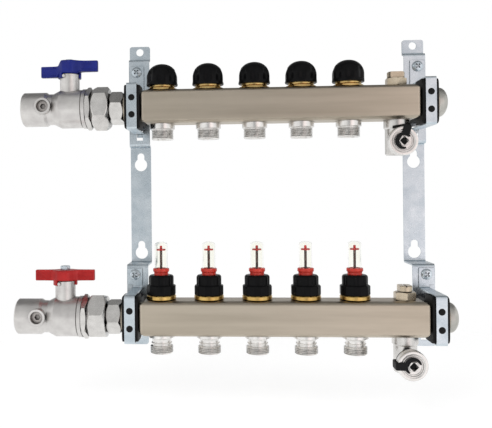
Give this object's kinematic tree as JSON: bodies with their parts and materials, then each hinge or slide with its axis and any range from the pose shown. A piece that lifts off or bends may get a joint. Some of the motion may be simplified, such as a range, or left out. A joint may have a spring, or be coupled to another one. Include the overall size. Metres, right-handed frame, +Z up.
{
  "type": "underfloor heating manifold",
  "caption": "Wall-mounted heating manifold: square return bar over a supply bar on bent brackets, with outlet nipples, flow meters, hand caps, vents, drains and ball valves.",
  "frame": {"origin": "centre of the four key holes of the wall brackets, on the wall plane", "axes": "+X along the bars, away from the ball valves; +Y into the wall; +Z up"},
  "size_m": [0.5014, 0.1299, 0.3935],
  "materials": {
    "stainless": "satin, warm",
    "zinc": "bright zinc plate",
    "nickel": "satin nickel plate",
    "brass": "turned",
    "rubber": "matt",
    "black_plastic": "fine grain",
    "blue_plastic": "plastic coat",
    "red_plastic": "plastic coat",
    "red_ring": "moulded",
    "indicator_red": "moulded",
    "clear_plastic": "clear moulded",
    "seal_white": "smooth",
    "vent_cream": "moulded"
  },
  "bodies": {
    "manifold": {"return_bar": "stainless", "supply_bar": "stainless", "left_bracket": "zinc", "right_bracket": "zinc", "clamp_straps": "zinc", "clamp_cushions": "rubber", "clamp_screws": "zinc", "end_plugs": "nickel", "return_nipples": "nickel", "supply_nipples": "nickel", "valve_inserts": "brass", "meter_bases": "brass", "sight_tubes": "clear_plastic", "vent_bodies": "nickel", "drain_bodies": "nickel", "drain_keepers": "rubber", "valve_bodies": "nickel", "valve_connectors": "nickel", "port_plugs": "nickel", "sealing_rings": "seal_white", "tailpieces": "nickel"},
    "return_valve": {"return_handle": "blue_plastic", "return_handle_nut": "zinc", "return_stem": "zinc", "return_ball": "nickel"},
    "return_union": {"return_union_nut": "nickel"},
    "return_vent": {"return_vent_knob": "vent_cream"},
    "return_drain": {"return_drain_cap": "nickel"},
    "supply_valve": {"supply_handle": "red_plastic", "supply_handle_nut": "zinc", "supply_stem": "zinc", "supply_ball": "nickel"},
    "supply_union": {"supply_union_nut": "nickel"},
    "supply_vent": {"supply_vent_knob": "vent_cream"},
    "supply_drain": {"supply_drain_cap": "nickel"},
    "pin_1": {"valve_pin_1": "zinc"},
    "cap_1": {"control_cap_1": "black_plastic"},
    "knob_1": {"meter_knob_1": "black_plastic"},
    "lock_1": {"lock_ring_1": "red_ring"},
    "indicator_1": {"flow_indicator_1": "indicator_red"},
    "pin_2": {"valve_pin_2": "zinc"},
    "cap_2": {"control_cap_2": "black_plastic"},
    "knob_2": {"meter_knob_2": "black_plastic"},
    "lock_2": {"lock_ring_2": "red_ring"},
    "indicator_2": {"flow_indicator_2": "indicator_red"},
    "pin_3": {"valve_pin_3": "zinc"},
    "cap_3": {"control_cap_3": "black_plastic"},
    "knob_3": {"meter_knob_3": "black_plastic"},
    "lock_3": {"lock_ring_3": "red_ring"},
    "indicator_3": {"flow_indicator_3": "indicator_red"},
    "pin_4": {"valve_pin_4": "zinc"},
    "cap_4": {"control_cap_4": "black_plastic"},
    "knob_4": {"meter_knob_4": "black_plastic"},
    "lock_4": {"lock_ring_4": "red_ring"},
    "indicator_4": {"flow_indicator_4": "indicator_red"},
    "pin_5": {"valve_pin_5": "zinc"},
    "cap_5": {"control_cap_5": "black_plastic"},
    "knob_5": {"meter_knob_5": "black_plastic"},
    "lock_5": {"lock_ring_5": "red_ring"},
    "indicator_5": {"flow_indicator_5": "indicator_red"}
  },
  "joints": [
    {"name": "return_handle_turn", "type": "hinge", "parent": "manifold", "child": "return_valve", "pos_m": [-0.2498, -0.059, 0.1225], "axis": [0, 0, -1], "range_deg": [0, 90]},
    {"name": "return_union_turn", "type": "hinge", "parent": "manifold", "child": "return_union", "pos_m": [-0.2104, -0.059, 0.1225], "axis": [1, 0, 0], "continuous": true},
    {"name": "return_vent_turn", "type": "hinge", "parent": "manifold", "child": "return_vent", "pos_m": [0.1375, -0.059, 0.1525], "axis": [0, 0, 1], "range_deg": [0, 540]},
    {"name": "return_drain_turn", "type": "hinge", "parent": "manifold", "child": "return_drain", "pos_m": [0.1375, -0.089, 0.076], "axis": [0, -1, 0], "range_deg": [0, 1080]},
    {"name": "supply_handle_turn", "type": "hinge", "parent": "manifold", "child": "supply_valve", "pos_m": [-0.2498, -0.091, -0.1225], "axis": [0, 0, -1], "range_deg": [0, 90]},
    {"name": "supply_union_turn", "type": "hinge", "parent": "manifold", "child": "supply_union", "pos_m": [-0.2104, -0.091, -0.1225], "axis": [1, 0, 0], "continuous": true},
    {"name": "supply_vent_turn", "type": "hinge", "parent": "manifold", "child": "supply_vent", "pos_m": [0.1375, -0.091, -0.0925], "axis": [0, 0, 1], "range_deg": [0, 540]},
    {"name": "supply_drain_turn", "type": "hinge", "parent": "manifold", "child": "supply_drain", "pos_m": [0.1375, -0.121, -0.169], "axis": [0, -1, 0], "range_deg": [0, 1080]},
    {"name": "pin_1_slide", "type": "slide", "parent": "manifold", "child": "pin_1", "axis": [0, 0, -1], "range_m": [0, 0.0025]},
    {"name": "cap_1_turn", "type": "hinge", "parent": "pin_1", "child": "cap_1", "pos_m": [-0.1375, -0.059, 0.1625], "axis": [0, 0, -1], "range_deg": [0, 601]},
    {"name": "knob_1_turn", "type": "hinge", "parent": "manifold", "child": "knob_1", "pos_m": [-0.1375, -0.091, -0.0875], "axis": [0, 0, 1], "range_deg": [0, 900]},
    {"name": "lock_1_lift", "type": "slide", "parent": "manifold", "child": "lock_1", "axis": [0, 0, 1], "range_m": [0, 0.004]},
    {"name": "flow_1_slide", "type": "slide", "parent": "manifold", "child": "indicator_1", "axis": [0, 0, -1], "range_m": [0, 0.018], "stiffness_N_per_m": 40, "springref_m": -0.006},
    {"name": "pin_2_slide", "type": "slide", "parent": "manifold", "child": "pin_2", "axis": [0, 0, -1], "range_m": [0, 0.0025]},
    {"name": "cap_2_turn", "type": "hinge", "parent": "pin_2", "child": "cap_2", "pos_m": [-0.0825, -0.059, 0.1625], "axis": [0, 0, -1], "range_deg": [0, 601]},
    {"name": "knob_2_turn", "type": "hinge", "parent": "manifold", "child": "knob_2", "pos_m": [-0.0825, -0.091, -0.0875], "axis": [0, 0, 1], "range_deg": [0, 900]},
    {"name": "lock_2_lift", "type": "slide", "parent": "manifold", "child": "lock_2", "axis": [0, 0, 1], "range_m": [0, 0.004]},
    {"name": "flow_2_slide", "type": "slide", "parent": "manifold", "child": "indicator_2", "axis": [0, 0, -1], "range_m": [0, 0.018], "stiffness_N_per_m": 40, "springref_m": -0.006},
    {"name": "pin_3_slide", "type": "slide", "parent": "manifold", "child": "pin_3", "axis": [0, 0, -1], "range_m": [0, 0.0025]},
    {"name": "cap_3_turn", "type": "hinge", "parent": "pin_3", "child": "cap_3", "pos_m": [-0.0275, -0.059, 0.1625], "axis": [0, 0, -1], "range_deg": [0, 601]},
    {"name": "knob_3_turn", "type": "hinge", "parent": "manifold", "child": "knob_3", "pos_m": [-0.0275, -0.091, -0.0875], "axis": [0, 0, 1], "range_deg": [0, 900]},
    {"name": "lock_3_lift", "type": "slide", "parent": "manifold", "child": "lock_3", "axis": [0, 0, 1], "range_m": [0, 0.004]},
    {"name": "flow_3_slide", "type": "slide", "parent": "manifold", "child": "indicator_3", "axis": [0, 0, -1], "range_m": [0, 0.018], "stiffness_N_per_m": 40, "springref_m": -0.006},
    {"name": "pin_4_slide", "type": "slide", "parent": "manifold", "child": "pin_4", "axis": [0, 0, -1], "range_m": [0, 0.0025]},
    {"name": "cap_4_turn", "type": "hinge", "parent": "pin_4", "child": "cap_4", "pos_m": [0.0275, -0.059, 0.1625], "axis": [0, 0, -1], "range_deg": [0, 601]},
    {"name": "knob_4_turn", "type": "hinge", "parent": "manifold", "child": "knob_4", "pos_m": [0.0275, -0.091, -0.0875], "axis": [0, 0, 1], "range_deg": [0, 900]},
    {"name": "lock_4_lift", "type": "slide", "parent": "manifold", "child": "lock_4", "axis": [0, 0, 1], "range_m": [0, 0.004]},
    {"name": "flow_4_slide", "type": "slide", "parent": "manifold", "child": "indicator_4", "axis": [0, 0, -1], "range_m": [0, 0.018], "stiffness_N_per_m": 40, "springref_m": -0.006},
    {"name": "pin_5_slide", "type": "slide", "parent": "manifold", "child": "pin_5", "axis": [0, 0, -1], "range_m": [0, 0.0025]},
    {"name": "cap_5_turn", "type": "hinge", "parent": "pin_5", "child": "cap_5", "pos_m": [0.0825, -0.059, 0.1625], "axis": [0, 0, -1], "range_deg": [0, 601]},
    {"name": "knob_5_turn", "type": "hinge", "parent": "manifold", "child": "knob_5", "pos_m": [0.0825, -0.091, -0.0875], "axis": [0, 0, 1], "range_deg": [0, 900]},
    {"name": "lock_5_lift", "type": "slide", "parent": "manifold", "child": "lock_5", "axis": [0, 0, 1], "range_m": [0, 0.004]},
    {"name": "flow_5_slide", "type": "slide", "parent": "manifold", "child": "indicator_5", "axis": [0, 0, -1], "range_m": [0, 0.018], "stiffness_N_per_m": 40, "springref_m": -0.006}
  ],
  "couplings": [
    {"joint": "cap_1_turn", "follows": "pin_1_slide", "rad_per_m": 4188.8},
    {"joint": "cap_2_turn", "follows": "pin_2_slide", "rad_per_m": 4188.8},
    {"joint": "cap_3_turn", "follows": "pin_3_slide", "rad_per_m": 4188.8},
    {"joint": "cap_4_turn", "follows": "pin_4_slide", "rad_per_m": 4188.8},
    {"joint": "cap_5_turn", "follows": "pin_5_slide", "rad_per_m": 4188.8}
  ]
}
